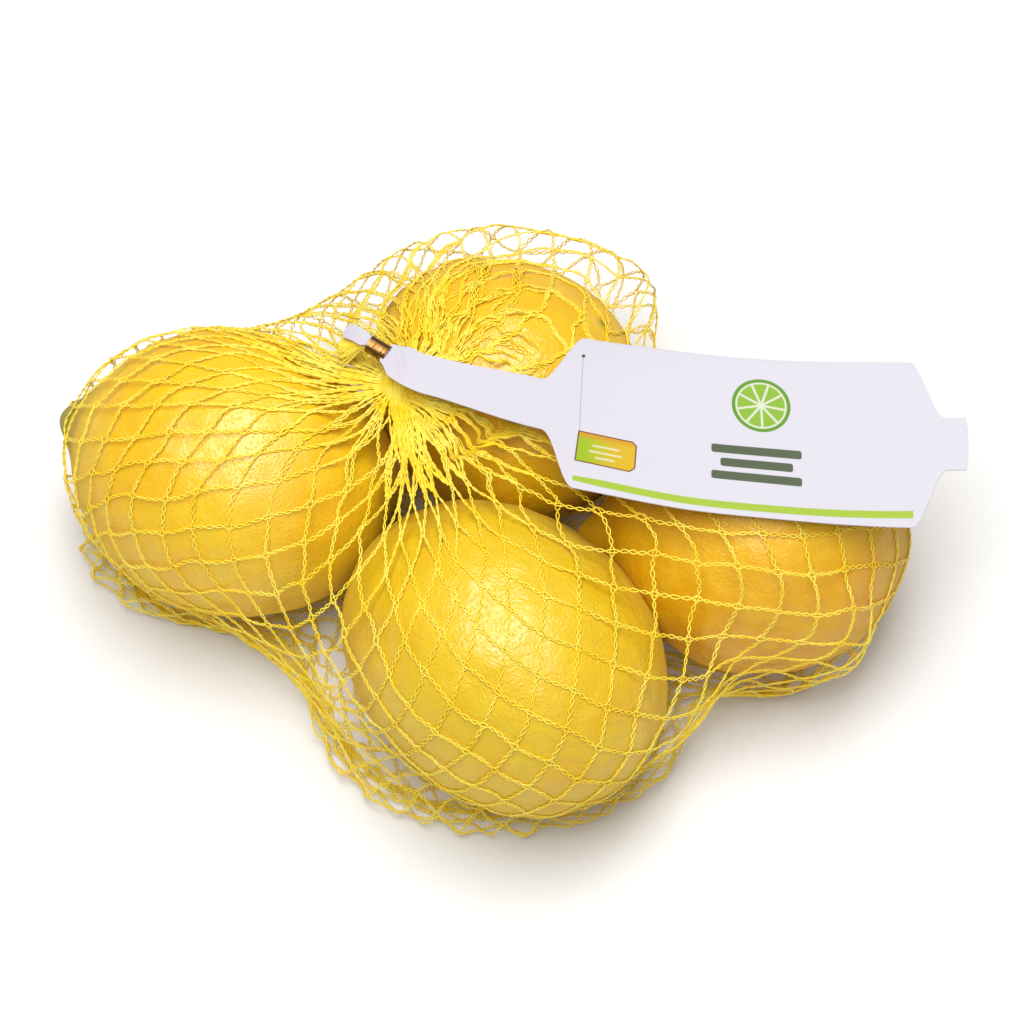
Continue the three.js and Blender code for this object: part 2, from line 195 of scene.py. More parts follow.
# ---- clips ----
CLIP_LENGTH = 4.6
CLIP_WALL = 0.45
CLIP_HALF = (1.87, 1.65)    # half width and half height outside
CLIP_RISE = 0.55            # the upper clip sits higher, to take the label too
CLIP_SQUARENESS = 2.5       # exponent of its rounded outline
CLIP_STEPS = (72, 32)       # round and along
CLIP_WAIST = 0.97           # its girth between the flared ends, as a share of its half sizes
CLIP_GROOVES = dict(at=0.42, spread=0.10, depth=0.018)          # at shares of the half length
CLIP_FLARE = dict(spread=0.12, height=0.03)
CLIP_SEAM = dict(spread=0.12, depth=0.12)       # radians, and a share of the half sizes

# ---- band label: middle line from the tail through the clip to the loose end ----
FILM = 0.36
LABEL_LINE = [
    (-34.6, 29.2, 57.2), (-32.0, 27.2, 58.6), (-29.9, 25.5, 58.95), (-25.4, 22.5, 58.85),
    (-19.6, 18.8, 58.7), (-12.8, 16.7, 58.4), (-2.5, 13.6, 58.5), (7.4, 10.4, 59.4),
    (18.0, 7.4, 60.6), (36.4, 3.6, 61.4), (50.6, 1.9, 61.8), (65.2, 0.6, 62.3),
    (80.0, -0.3, 63.1), (92.8, -0.6, 64.0),
]
# at distances from the tail: half widths, then turns and leans in degrees
LABEL_WIDTHS = [
    (0, 1.9), (5.4, 1.75), (6.5, 1.0), (10.3, 1.1), (11.0, 2.5), (14.8, 4.2), (22, 4.6),
    (44.5, 5.9), (52.6, 17.9), (121.8, 17.9), (129.0, 5.6), (133, 5.6),
]
LABEL_TURNS = [(0, 0), (14, 4), (50, 5), (90, -1), (133, -8)]
LABEL_LEANS = [(0, 0), (30, 0), (50, 9), (80, 6), (133, 0)]
SHOULDER = dict(at=50, spread=12, skew=1.0)     # the front one lies farther from the clip, by twice skew
# the two ends are cut a little round, the far one by this share of the near one's depth
SOFT_ENDS = dict(depth=0.9, spread=2.0, far_share=0.5)
PLEAT = dict(at=14.5, reach=3.6, height=0.42, half=0.9, slant=0.9)
CUP = dict(at=15, reach=5, depth=0.35)
# swells of the film: none until clear, full after rise; middle: their share on the middle line
RIPPLE = dict(length=34, count=8, height=0.22, clear=25, rise=30, middle=0.4)
LABEL_FINE_STEPS = 60       # points of its line from one place to the next
LABEL_STEPS = (300, 40)     # along and across
PRINT_SPAN = (133.5, 36.0)  # millimetres that the label's UV square stands for

# ---- view ----
LOOK_AT = np.array([0, 0, 30])                  # in the bag's millimetres
CAMERA = dict(elevation=65, distance=0.85, sensor=36, frame_width=0.2161)
# place in metres, width, depth and watts
LIGHTS = {
    "overhead": ((-0.05, 0.02, 1.25), 1.15, 0.55, 19.0),
    "front_fill": ((0.35, -1.2, 0.75), 0.9, 0.9, 1.8),
}
SKY = 0.33
FLOOR_HALF = 2.5


def unit(vectors):
    """The same vectors with length 1."""
    return vectors / np.linalg.norm(vectors, axis=-1, keepdims=True)


def waves(points, length, seed, count=12):
    """Smooth uneven values, mostly within -1 to 1: a sum of swells of about that length."""
    draws = np.random.default_rng(seed)
    ways = unit(draws.normal(size=(count, 3))) * draws.uniform(*SWELLS_PER_LENGTH, (count, 1))
    phases = draws.uniform(0, 2 * math.pi, count)
    return np.sin(points @ ways.T * (2 * math.pi / length) + phases).sum(-1) / math.sqrt(count)


def bell(value, spread):
    return np.exp(-(value / spread) ** 2)


def ease_through(pairs, places):
    """Reads values from (place, value) pairs, easing from one to the next."""
    table = np.array(pairs, float)
    places = np.asarray(places, float)
    last = len(table) - 2
    index = np.clip(np.searchsorted(table[:, 0], places, side="right") - 1, 0, last)
    start = table[index]
    end = table[index + 1]
    share = np.clip((places - start[..., 0]) / (end[..., 0] - start[..., 0]), 0, 1)
    return start[..., 1] + (end[..., 1] - start[..., 1]) * share * share * (3 - 2 * share)


def between(a, b, start, end, at):
    return (a * (end - at) + b * (at - start)) / (end - start)


def distances_along(points):
    """How far along a line each of its points lies."""
    return np.concatenate(([0], np.cumsum(np.linalg.norm(np.diff(points, axis=0), axis=1))))


def square_to(axis):
    """The level direction across an axis, and the one square to both."""
    side = np.cross((0, 0, 1), axis)
    side = unit(side) if np.linalg.norm(side) > 0.01 else np.array([1.0, 0, 0])
    return side, np.cross(axis, side)


def smooth_line(points, pieces):
    """A centripetal Catmull-Rom curve through the points, that many pieces from each to the next."""
    points = np.asarray(points, float)
    points = np.concatenate((2 * points[:1] - points[1:2], points, 2 * points[-1:] - points[-2:-1]))
    found = []
    for first in range(len(points) - 3):
        p = points[first:first + 4]
        k = np.concatenate(([0], np.cumsum(np.linalg.norm(np.diff(p, axis=0), axis=1) ** 0.5)))
        at = np.linspace(k[1], k[2], pieces, endpoint=False)[:, None]
        a = [between(p[i], p[i + 1], k[i], k[i + 1], at) for i in range(3)]
        b = [between(a[i], a[i + 1], k[i], k[i + 2], at) for i in range(2)]
        found.append(between(b[0], b[1], k[1], k[2], at))
    found.append(points[-2][None])
    return np.concatenate(found)


# ---- materials ----

class Wire:
    """An output socket of a material's node. Sums written on it add Math nodes."""

    def __init__(self, paint, socket):
        self.paint = paint
        self.socket = socket

    def beside(self, out):
        """Another output of the same node."""
        return Wire(self.paint, self.socket.node.outputs[out])

    def __add__(self, other):
        return self.paint.maths("ADD", self, other)

    def __sub__(self, other):
        return self.paint.maths("SUBTRACT", self, other)

    def __rsub__(self, other):
        return self.paint.maths("SUBTRACT", other, self)

    def __mul__(self, other):
        return self.paint.maths("MULTIPLY", self, other)

    def __truediv__(self, other):
        return self.paint.maths("DIVIDE", self, other)

    def __abs__(self):
        return self.paint.maths("ABSOLUTE", self)

    __radd__ = __add__
    __rmul__ = __mul__


class Paint:
    """A material and the nodes that make it."""

    def __init__(self, name, **values):
        self.material = bpy.data.materials.new(name)
        self.material.use_nodes = True
        self.tree = self.material.node_tree
        self.shader = self.tree.nodes["Principled BSDF"]
        for socket, value in values.items():
            self.put(socket.replace("_", " ").title().replace("Ior", "IOR"), value)

    def put(self, name, value):
        """Sets or links one of the shader's sockets."""
        self.join(self.shader.inputs[name], value)

    def join(self, socket, value):
        if isinstance(value, Wire):
            self.tree.links.new(value.socket, socket)
        else:
            socket.default_value = value

    def node(self, kind, settings=None, inputs=None, out=0):
        """Any node: its type, its settings, then the values or wires of its sockets."""
        made = self.tree.nodes.new("ShaderNode" + kind)
        for name, value in (settings or {}).items():
            setattr(made, name, value)
        for name, value in (inputs or {}).items():
            self.join(made.inputs[name], value)
        return Wire(self, made.outputs[out])

    def maths(self, operation, *values, clamp=False):
        settings = {"operation": operation, "use_clamp": clamp}
        return self.node("Math", settings, dict(enumerate(values)))

    def clamp(self, value):
        return self.maths("ADD", value, 0.0, clamp=True)

    def step(self, value, low, high):
        """0 below low and 1 above high, eased between."""
        settings = {"interpolation_type": "SMOOTHSTEP"}
        return self.node("MapRange", settings, {0: value, 1: low, 2: high, 3: 0.0, 4: 1.0})

    def mix(self, factor, first, second):
        """Mixes two colours."""
        inputs = {0: factor}
        for slot, color in ((6, first), (7, second)):
            inputs[slot] = color if isinstance(color, Wire) else (*color, 1.0)
        return self.node("Mix", {"data_type": "RGBA"}, inputs, out=2)

    def place(self):
        return self.node("TexCoord", out="Object")

    def own_map(self):
        return self.node("UVMap", {"uv_map": "UVMap"})

    def noise(self, place, size, detail=2.0, roughness=0.5, distortion=0.0):
        """Noise with swells of about that size, in the place's own unit."""
        inputs = {"Vector": place, "Scale": 1 / size, "Detail": detail}
        inputs |= {"Roughness": roughness, "Distortion": distortion}
        return self.node("TexNoise", None, inputs)

    def patches(self, place, size, detail, low, high):
        """Smooth-edged patches where noise is high."""
        return self.step(self.noise(place, size, detail), low, high)

    def pits(self, place, size):
        """Distance from the middle of the nearest pit, in shares of about their size."""
        return self.node("TexVoronoi", {"feature": "F1"}, {"Vector": place, "Scale": 1 / size})

    def attribute(self, name):
        return self.node("Attribute", {"attribute_name": name}, out="Fac")

    def bump(self, height, strength=1.0):
        """Relief from a height in millimetres."""
        inputs = {"Height": height, "Strength": strength, "Distance": MM}
        self.put("Normal", self.node("Bump", None, inputs))

    def soften(self, *reach):
        """How far light of each colour spreads below the surface, in millimetres."""
        self.put("Subsurface Radius", tuple(length * MM for length in reach))
        self.put("Subsurface Scale", 1.0)


def lemon_skin(name, warm, tone, wrinkle):
    """Waxy peel with pores; its olive ends come from the piece's own attribute."""
    paint = Paint("lemon_skin_" + name, subsurface_weight=0.03, specular_ior_level=0.62)
    paint.soften(0.9, 0.6, 0.12)
    place = paint.place()
    lemon = (0.80, 0.535, 0.008)
    golden = (0.755, 0.41, 0.005)
    amber = (0.70, 0.31, 0.005)
    pale = (0.86, 0.64, 0.035)
    pore_brown = (0.58, 0.37, 0.006)
    freckle_brown = (0.50, 0.32, 0.015)
    olive = (0.20, 0.185, 0.014)
    base = tuple((a + (b - a) * warm) * tone for a, b in zip(lemon, golden))
    deep = tuple((a + (b - a) * warm) * tone for a, b in zip(golden, amber))
    ripe = paint.patches(place, 0.022, 3, 0.40, 0.68)
    color = paint.mix(ripe * 0.55, base, deep)
    mottle = paint.patches(place, 0.0045, 3, 0.45, 0.75)
    color = paint.mix(mottle * 0.20, color, pale)
    pores = 1 - paint.step(paint.pits(place, 0.00084), 0.10, 0.46)
    color = paint.mix(pores * 0.20, color, pore_brown)
    freckles = paint.patches(place, 0.0032, 2, 0.70, 0.76)
    color = paint.mix(freckles * 0.25, color, freckle_brown)
    color = paint.mix(paint.attribute("olive") * 0.9, color, olive)
    paint.put("Base Color", color)
    ridges = abs(paint.noise(place, 0.0036, 2, 0.45, 1.2) - 0.5)
    soft = paint.noise(place, 0.0027, 3)
    height = ridges * (-0.42 * wrinkle) - pores * 0.075 + soft * 0.20
    paint.bump(height, 0.8)
    limb = paint.step(paint.node("LayerWeight", None, {"Blend": 0.5}, out="Facing"), 0.35, 0.90)
    paint.put("Roughness", 0.33 + pores * 0.12 + mottle * 0.05 + limb * 0.45)
    return paint.material


def net_plastic():
    paint = Paint("net_plastic", specular_ior_level=0.4, subsurface_weight=0.2)
    paint.soften(0.4, 0.3, 0.06)
    yellow = (0.96, 0.68, 0.025)
    pale_yellow = (0.98, 0.79, 0.10)
    tone = paint.noise(paint.place(), 0.006, 2)
    paint.put("Base Color", paint.mix(paint.step(tone, 0.35, 0.7), yellow, pale_yellow))
    paint.put("Roughness", 0.30 + tone * 0.12)
    return paint.material


def stem_bark():
    paint = Paint("stem_bark", roughness=0.8)
    brown = (0.10, 0.08, 0.02)
    straw = (0.30, 0.26, 0.07)
    grain = paint.noise(paint.place(), 0.0008, 3)
    paint.put("Base Color", paint.mix(grain, brown, straw))
    paint.bump(grain * 0.25)
    return paint.material


def copper():
    """Metal drawn along the band, with dull stains."""
    paint = Paint("copper_band", metallic=1.0)
    dark = (0.17, 0.082, 0.024)
    bright = (0.30, 0.160, 0.052)
    stain = (0.07, 0.03, 0.01)
    along = paint.node("Mapping", None, {"Vector": paint.own_map(), "Scale": (60.0, 2.0, 1.0)})
    drawn = paint.noise(along, 1.0, 3.0)
    color = paint.mix(paint.step(drawn, 0.3, 0.7), dark, bright)
    stains = paint.patches(paint.place(), 0.0016, 2, 0.55, 0.75)
    paint.put("Base Color", paint.mix(stains * 0.5, color, stain))
    paint.put("Roughness", 0.25 + drawn * 0.12)
    paint.bump(drawn * 0.03)
    return paint.material


class Print:
    """Fields of plain colour on the label, placed in millimetres from its tail and middle line."""

    def __init__(self, paint, ground):
        self.paint = paint
        self.color = ground
        across = paint.node("SeparateXYZ", None, {0: paint.own_map()})
        self.u = across * PRINT_SPAN[0]
        self.v = (across.beside(1) - 0.5) * PRINT_SPAN[1]

    def larger(self, a, b):
        return self.paint.maths("MAXIMUM", a, b)

    def length(self, x, y):
        return self.paint.maths("SQRT", x * x + y * y)

    def edge(self, distance, soft=0.14):
        """1 inside, 0 outside of a line at distance 0."""
        return self.paint.clamp(0.5 - distance / soft)

    def lay(self, share, color):
        """Prints a colour over what is there already."""
        self.color = self.paint.mix(share, self.color, color)

    def bar(self, u, v, half_u, half_v, round_by, lean=0.0):
        """Distance from a rounded bar; lean shifts it across as it runs along."""
        x = abs(self.u - u) - (half_u - round_by)
        y = abs(self.v - v - (self.u - u) * lean) - (half_v - round_by)
        inside = self.paint.maths("MINIMUM", self.larger(x, y), 0.0)
        return self.length(self.larger(x, 0.0), self.larger(y, 0.0)) + inside - round_by

    def disc(self, u, v, radius):
        return self.length(self.u - u, self.v - v) - radius

    def stripe(self):
        """A green band along the front edge, bowed, and thinner near its start."""
        green = (0.31, 0.43, 0.035)
        centre, half_length = 88.1, 34.0
        forward, rise, bow = 15.6, 0.5, 0.55
        half_width, widening = 0.60, 0.20
        taper = self.paint.step(self.u, 54.0, 60.0)
        run = self.paint.clamp((self.u - 53.5) / 69.0)
        middle = run * rise - forward - self.paint.maths("SINE", run * math.pi) * bow
        sides = abs(self.v - middle) - (half_width + taper * widening)
        ends = abs(self.u - centre) - half_length
        self.lay(self.edge(self.larger(sides, ends)), green)

    def panel(self):
        """A small panel from green to orange, with a dark rim, cut corners and three pale bars."""
        rim_brown = (0.17, 0.045, 0.012)
        green = (0.27, 0.40, 0.012)
        orange = (0.56, 0.36, 0.014)
        red_orange = (0.55, 0.22, 0.012)
        cream = (0.60, 0.58, 0.38)
        u, v = 60.1, -8.1
        rim_width = 0.28
        corner = (self.u - u + abs(self.v - v)) * 0.707 - 6.15
        panel = self.larger(self.bar(u, v, 6.1, 3.6, 0.2, -0.02), corner)
        self.lay(self.edge(panel), rim_brown)
        field = self.paint.mix(self.paint.step(self.u, 54.5, 63.5), green, orange)
        field = self.paint.mix(self.paint.step(self.v, -6.6, -4.8) * 0.8, field, red_orange)
        self.lay(self.edge(panel + rim_width), field)
        thin = 0.24
        for row, half in ((-7.3, 2.8), (-8.7, 3.4), (-10.0, 2.0)):
            self.lay(self.edge(self.bar(59.9, row, half, thin, thin)) * 0.8, cream)

    def fruit_slice(self, u, v, reach):
        """A round slice: rind, pith, and segments of flesh with pith between them."""
        rind_green = (0.10, 0.25, 0.014)
        pith = (0.56, 0.58, 0.46)
        flesh_green = (0.21, 0.38, 0.03)
        segments, first_turn = 9, 9.2
        rind_width, flesh_inset, core, half_gap = 0.75, 1.15, 0.7, 0.24
        rind = self.disc(u, v, reach)
        self.lay(self.edge(rind), rind_green)
        self.lay(self.edge(rind + rind_width), pith)
        x = self.u - u
        y = self.v - v
        turn = self.paint.maths("ARCTAN2", y, x) * (segments / (2 * math.pi)) + first_turn
        wedge = abs(self.paint.maths("FRACT", turn) - 0.5)
        radius = self.length(x, y)
        spoke = (wedge - 0.5) * radius * (2 * math.pi / segments) + half_gap
        flesh = self.larger(self.larger(spoke, rind + flesh_inset), core - radius)
        self.lay(self.edge(flesh), flesh_green)

    def plain_bars(self):
        """Bars in place of words."""
        grey_green = (0.075, 0.095, 0.05)
        for row, half in ((-3.3, 9.2), (-6.3, 7.4), (-9.3, 9.2)):
            self.lay(self.edge(self.bar(90.4, row, half, 0.95, 0.5, -0.01)), grey_green)

    def dot_and_line(self):
        """A small dot and the fine line that runs from it, leaning a little."""
        dot_grey = (0.07, 0.06, 0.07)
        line_grey = (0.09, 0.085, 0.10)
        lean, half_width = 0.08, 0.05
        self.lay(self.edge(self.disc(52.9, 13.4, 0.42)), dot_grey)
        across = abs(self.u - 52.85 - (13.2 - self.v) * lean) - half_width
        line = self.larger(across, abs(self.v - 4.5) - 8.8)
        self.lay(self.edge(line, 0.22) * 0.7, line_grey)

    def painted_fold_shade(self):
        """Painted shade, in mauve, on the front of the film where it is gathered at the clip."""
        mauve = (0.55, 0.45, 0.55)
        near_clip = 1 - self.paint.step(self.u, 12.0, 21.0)
        front = 1 - self.paint.step(self.v, -2.5, 1.5)
        self.lay(near_clip * front * 0.5, mauve)


def label_film():
    paint = Paint("label_film", specular_ior_level=0.2)
    place = paint.place()
    shaded_white = (0.545, 0.528, 0.582)
    white = (0.558, 0.541, 0.596)
    marks = Print(paint, paint.mix(paint.noise(place, 0.03, 2), shaded_white, white))
    marks.stripe()
    marks.panel()
    marks.fruit_slice(91.5, 7.2, 6.0)
    marks.plain_bars()
    marks.dot_and_line()
    # painted shade in the gathered film by the clip
    marks.painted_fold_shade()
    paint.put("Base Color", marks.color)
    grain = paint.noise(place, 0.0011, 2)
    paint.put("Roughness", 0.48 + grain * 0.12)
    paint.bump(paint.noise(place, 0.006, 2) * 0.10 + grain * 0.012)
    return paint.material


def floor_paint():
    paint = Paint("pale_floor", roughness=0.55, specular_ior_level=0.25)
    grain = paint.noise(paint.place(), 0.004, 2)
    paint.put("Base Color", paint.mix(grain, (0.77,) * 3, (0.79,) * 3))
    return paint.material


# ---- pieces ----

def add_piece(name, mesh, material, slot=None, stands_for=()):
    """Puts a finished mesh in the scene, riding on the one body."""
    piece = bpy.data.objects.new(name, mesh)
    bpy.context.scene.collection.objects.link(piece)
    mesh.materials.clear()
    mesh.materials.append(material)
    if slot:
        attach(piece, "root")
    if stands_for:
        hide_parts(*stands_for)
    return piece


def thicken(piece, wall, rounding, steps, sharpness):
    """Gives a sheet its wall, half of it on each side, and rounds edges sharper than that many degrees."""
    solid = piece.modifiers.new("Wall", "SOLIDIFY")
    solid.thickness = wall * MM
    solid.offset = 0.0
    edge = piece.modifiers.new("Edge", "BEVEL")
    edge.width = rounding * MM
    edge.segments = steps
    edge.limit_method = "ANGLE"
    edge.angle_limit = math.radians(sharpness)


def mesh_of(shape, name):
    """Turns a bmesh into a smooth-shaded mesh and frees it."""
    mesh = bpy.data.meshes.new(name)
    shape.to_mesh(mesh)
    shape.free()
    mesh.shade_smooth()
    return mesh


def grid_of(name, columns, rows):
    """A flat grid, 1 unit square, that is bent to shape afterwards."""
    shape = bmesh.new()
    bmesh.ops.create_grid(shape, x_segments=columns, y_segments=rows, size=0.5)
    return mesh_of(shape, name)


def points_of(mesh):
    flat = np.empty(len(mesh.vertices) * 3)
    mesh.vertices.foreach_get("co", flat)
    return flat.reshape(-1, 3)


def set_points(mesh, points):
    """Moves a mesh's points to places given in the bag's millimetres."""
    mesh.vertices.foreach_set("co", (points * MM + ORIGIN).ravel())
    mesh.update()


def set_map(mesh, places):
    """Gives a mesh a UV map from each point's place on it."""
    layer = mesh.uv_layers.new(name="UVMap")
    numbers = np.empty(len(mesh.loops), np.int32)
    mesh.loops.foreach_get("vertex_index", numbers)
    layer.data.foreach_set("uv", places[numbers].ravel())


# ---- lemons ----

def lemon_centre(lemon):
    return np.array([lemon["x"], lemon["y"], lemon["width"] / 2 + NET_LAYER])


def lemon_turn(lemon):
    """Rows are the lemon's own directions: along to its tip, across, and up."""
    angle = math.radians(lemon["heading"])
    cos, sin = math.cos(angle), math.sin(angle)
    return np.array([[cos, sin, 0], [-sin, cos, 0], [0, 0, 1]])


def lemon_reach(lemon, ways):
    """Distance from the lemon's centre to its skin along each direction."""
    own = ways @ lemon_turn(lemon).T
    from_tip = np.arccos(np.clip(own[..., 0], -1, 1))
    from_stem = math.pi - from_tip
    half_width = lemon["width"] / 2
    half_length = lemon["length"] / 2 - np.where(own[..., 0] > 0, lemon["nipple"], 0)
    across = np.hypot(own[..., 1], own[..., 2]) / half_width
    body = 1 / np.sqrt((own[..., 0] / half_length) ** 2 + across ** 2)
    point = bell(from_tip, NIPPLE_SPREAD)
    shoulder = bell(from_tip, SHOULDER_SPREAD)
    nipple = lemon["nipple"] + lemon.get("beak", 0)
    nipple = nipple * (NIPPLE_SHARE * point + (1 - NIPPLE_SHARE) * shoulder)
    swelling = bell(from_stem, DIMPLE_RING * DIMPLE_SPREAD)
    dimple = lemon["stem"] * (swelling - DIMPLE_DEPTH * bell(from_stem, DIMPLE_SPREAD))
    uneven = 0
    heights = (lemon["lumps"], *FINE_SWELLS)
    for number, (height, (length, count)) in enumerate(zip(heights, SWELLS)):
        uneven = uneven + height * waves(own * half_width, length, lemon["seed"] + number, count)
    calm = 1 - bell(from_stem, STEM_CALM["spread"]) * STEM_CALM["share"]
    low = np.clip(-own[..., 2], 0, 1) ** 2
    return body + nipple + dimple + uneven * calm * (1 - low)


def make_lemon(name, lemon):
    shape = bmesh.new()
    bmesh.ops.create_icosphere(shape, subdivisions=SKIN_SUBDIVISIONS, radius=1.0)
    mesh = mesh_of(shape, "lemon_" + name)
    ways = unit(points_of(mesh))
    reach = lemon_reach(lemon, ways)
    own = ways @ lemon_turn(lemon).T
    from_tip = np.arccos(np.clip(own[:, 0], -1, 1))
    from_stem = math.pi - from_tip
    ragged = 1 + OLIVE_EDGE[0] * waves(own, OLIVE_EDGE[1], lemon["seed"] + 5)
    olive = np.clip(OLIVE_TIP[0] * bell(from_tip, OLIVE_TIP[1] * ragged), 0, 1)
    olive += OLIVE_STEM[0] * bell(from_stem, OLIVE_STEM[1] * ragged)
    olive += OLIVE_ROUND_STEM[0] * bell(from_stem, OLIVE_ROUND_STEM[1])
    olive *= lemon["tinge"]
    places = lemon_centre(lemon) + ways * reach[:, None]
    for x, y, z, size in lemon.get("scars", []):
        olive += bell(np.linalg.norm(places - (x, y, z), axis=1), size)
    layer = mesh.attributes.new("olive", "FLOAT", "POINT")
    layer.data.foreach_set("value", np.clip(olive, 0, 1).astype(np.float32))
    set_points(mesh, places)
    material = lemon_skin(name, lemon["warm"], lemon["tone"], lemon["wrinkle"])
    add_piece("lemon_" + name, mesh, material, "net_and_fruit", ["net_bag"])


def make_stem(name, lemon, material):
    """The dry button that is left of the stalk, with five blunt lobes."""
    shape = bmesh.new()
    bmesh.ops.create_circle(shape, cap_ends=True, segments=STALK["points"], radius=STALK["radius"])
    for point in shape.verts:
        angle = math.atan2(point.co.y, point.co.x)
        point.co *= 1 + STALK["lobe_depth"] * math.cos(STALK["lobes"] * angle)
    face = shape.faces[:]
    for inwards, upwards in STALK_STEPS:
        bmesh.ops.inset_region(shape, faces=face, thickness=inwards, depth=upwards)
    outline = [edge for edge in shape.edges if edge.is_boundary]
    skirt = bmesh.ops.extrude_edge_only(shape, edges=outline)["geom"]
    lowered = [part for part in skirt if isinstance(part, bmesh.types.BMVert)]
    bmesh.ops.translate(shape, verts=lowered, vec=(0, 0, -STALK["skirt"]))
    bottom = [edge for edge in shape.edges if edge.is_boundary]
    bmesh.ops.edgeloop_fill(shape, edges=bottom)
    bmesh.ops.recalc_face_normals(shape, faces=shape.faces[:])
    mesh = mesh_of(shape, "stem_" + name)
    spots = points_of(mesh)
    own = lemon_turn(lemon)
    outward = -own[0]
    reach = lemon_reach(lemon, outward[None])[0]
    seat = lemon_centre(lemon) + outward * (reach - STALK["sunk"])
    set_points(mesh, seat + spots[:, :1] * own[1] - spots[:, 1:2] * own[2] + spots[:, 2:] * outward)
    add_piece("stem_" + name, mesh, material, "net_and_fruit")


def lemon_gaps(points):
    """For each lemon: the directions to the points from its centre, and how far past its skin they are."""
    found = []
    for lemon in LEMONS.values():
        away = points - lemon_centre(lemon)
        distance = np.linalg.norm(away, axis=-1)
        ways = away / np.maximum(distance, 1e-6)[..., None]
        found.append((ways, distance - lemon_reach(lemon, ways)))
    return found


def clear_of_lemons(points, least):
    """Pushes points out of the lemons."""
    moved = points.copy()
    for ways, gap in lemon_gaps(points):
        moved += ways * np.maximum(least - gap, 0)[..., None]
    return moved


def down_to_lemons(points):
    """Draws points near a lemon in by the distance at which the CAD bag's surface passes over it."""
    moved = points.copy()
    for ways, gap in lemon_gaps(points):
        near = np.clip(1 - (gap - OVER_FRUIT) / NEAR_SKIN, 0, 1)
        moved -= ways * (near * (OVER_FRUIT - ON_SKIN))[..., None]
    return moved


# ---- net: where its crossings settle ----

def bag_surface():
    """The CAD bag as a tree for finding its surface, in the bag's millimetres."""
    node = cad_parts["net_bag"]
    corners = [Vector((np.array(v.co) - ORIGIN) / MM) for v in node.data.vertices]
    return BVHTree.FromPolygons(corners, [tuple(face.vertices) for face in node.data.polygons])


def drawn_in(away):
    """How far out the net lies in each direction from the heart, as a share of the bag's surface."""
    azimuth = np.degrees(np.arctan2(away[:, 1], away[:, 0]))
    return 1 - sum(tuck["share"] * bell(azimuth - tuck["azimuth"], tuck["spread"]) for tuck in TUCKS)


def onto_bag(bag, points, share):
    """Moves points along their lines from the heart towards the bag's surface, less so near the necks."""
    flat = points.reshape(-1, 3)
    near = np.minimum(*(np.linalg.norm(flat - np.array(s["at"]), axis=1) for s in (UPPER_RING, LOWER_RING)))
    hold = share * np.clip((near - NECK_FREE[0]) / (NECK_FREE[1] - NECK_FREE[0]), 0, 1)
    heart = Vector(HEART)
    hits = [bag.ray_cast(heart, Vector(away))[0] for away in flat - HEART]
    wanted = np.array([spot if hit is None else hit for hit, spot in zip(hits, flat)])
    wanted = HEART + (wanted - HEART) * drawn_in(flat - HEART)[:, None]
    return (flat + (wanted - flat) * hold[:, None]).reshape(points.shape)


def ring(spec, angles):
    """The ring of points where the net enters a neck, dipping to one side."""
    slope = -spec["dip"] / spec["radius"] * np.cos(angles - DIP_ANGLE)
    way = np.stack([np.cos(angles), np.sin(angles), slope], -1)
    return np.array(spec["at"]) + spec["radius"] * way


def rim(bag):
    """Directions, evenly spaced along the bag's rim, and the reach in each, for every half strand."""
    angles = np.arange(RIM_STEPS + 1) / RIM_STEPS * 2 * math.pi
    reach = np.full(RIM_STEPS + 1, RIM_LEAST)
    for index, angle in enumerate(angles):
        way = Vector((math.cos(angle), math.sin(angle), 0))
        for height in RIM_HEIGHTS:
            spot = bag.ray_cast(Vector((HEART[0], HEART[1], height)), way)[0]
            if spot is not None:
                reach[index] = max(reach[index], math.hypot(spot.x - HEART[0], spot.y - HEART[1]))
    places = np.stack([np.cos(angles), np.sin(angles)], -1) * reach[:, None]
    steps = np.minimum(np.linalg.norm(np.diff(places, axis=0), axis=1), RIM_LONGEST_STEP)
    total = np.concatenate(([0], np.cumsum(steps)))
    wanted = np.arange(2 * STRANDS) / (2 * STRANDS) * total[-1]
    chosen = np.interp(wanted, total, angles)
    return chosen, np.interp(chosen, angles, reach)


def neck_paths(bag):
    """Lines over the bag's surface from neck to neck, one for every half strand, and their lengths."""
    angles, reach = rim(bag)
    upper = ring(UPPER_RING, angles)
    lower = ring(LOWER_RING, angles)
    top, bottom = upper.mean(0), lower.mean(0)
    paths, spans = [], []
    for column, angle in enumerate(angles):
        way = np.array([math.cos(angle), math.sin(angle), 0])
        spots = [upper[column]]
        for share in np.linspace(0, 1, PATH_STEPS)[1:-1]:
            middle = top * (1 - share) + bottom * share
            wide = middle + way * reach[column] * math.sin(share * math.pi) ** PATH_FLARE
            wide[2] = PATH_TOP * (1 + math.cos(share * math.pi))
            hit = bag.ray_cast(Vector(HEART), Vector(wide - HEART).normalized())[0]
            if hit is None:
                continue
            spot = np.array(hit)
            if min(np.linalg.norm(spot - top), np.linalg.norm(spot - bottom)) > NECK_GAP:
                spots.append(spot)
        spots = np.array(spots + [lower[column]])
        total = distances_along(spots)
        wanted = np.linspace(0, total[-1], PATH_STEPS)
        paths.append(np.stack([np.interp(wanted, total, spots[:, axis]) for axis in range(3)], -1))
        spans.append(total[-1])
    return angles, np.array(paths), np.array(spans)


def on_paths(paths, spans, columns, places):
    """Points on the paths at any column, whole or not, and at distances from the upper neck."""
    count, fine = paths.shape[:2]
    found = 0
    for step in (0, 1):
        column = (np.floor(columns).astype(int) + step) % count
        weight = 1 - np.abs(columns - np.floor(columns) - step)
        at = np.clip(places / spans[column], 0, 1) * (fine - 1)
        low = np.minimum(at.astype(int), fine - 2)
        part = (at - low)[..., None]
        spot = paths[column, low] * (1 - part) + paths[column, low + 1] * part
        found = found + spot * weight[..., None]
    return found


